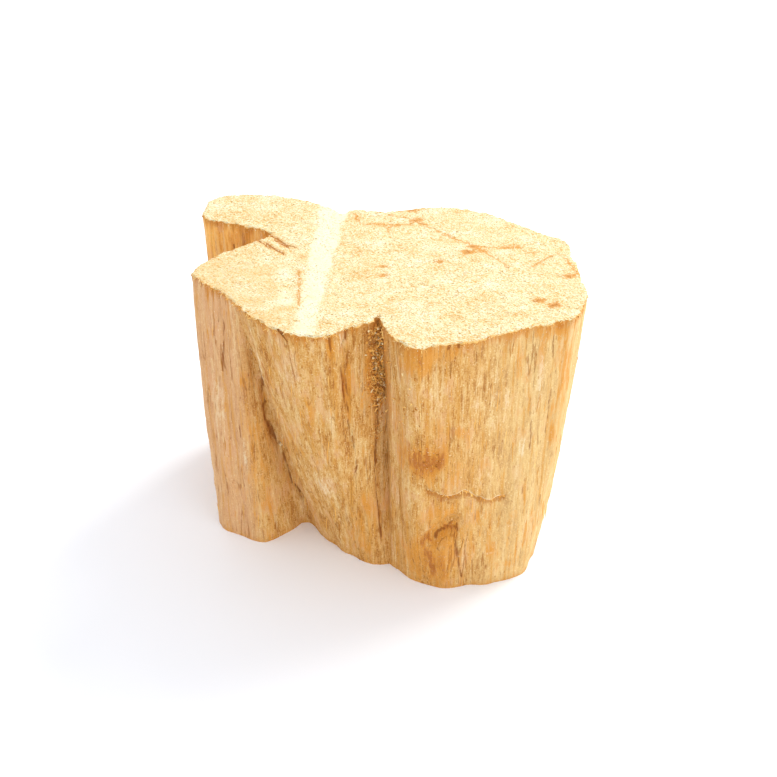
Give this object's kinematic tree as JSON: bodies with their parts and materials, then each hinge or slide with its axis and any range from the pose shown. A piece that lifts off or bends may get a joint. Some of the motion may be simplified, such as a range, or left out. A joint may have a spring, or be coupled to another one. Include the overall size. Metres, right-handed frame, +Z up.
{
  "type": "palo santo wood block",
  "caption": "Short upright block of palo santo heartwood, sawn flat across the grain at both ends, with split, grooved and knotty sides and a deep upright slot.",
  "frame": {"origin": "middle of the base's box, on the lower saw cut that the block stands on", "axes": "+Z up along the grain, +X along the block's longest side, +Y away from the side with the front groove"},
  "size_m": [0.0702, 0.0554, 0.056],
  "materials": {
    "heartwood": "bare, sawn across the grain at the ends and split along it on the sides"
  },
  "bodies": {
    "root": {"palo_santo_block": "heartwood"}
  },
  "joints": []
}
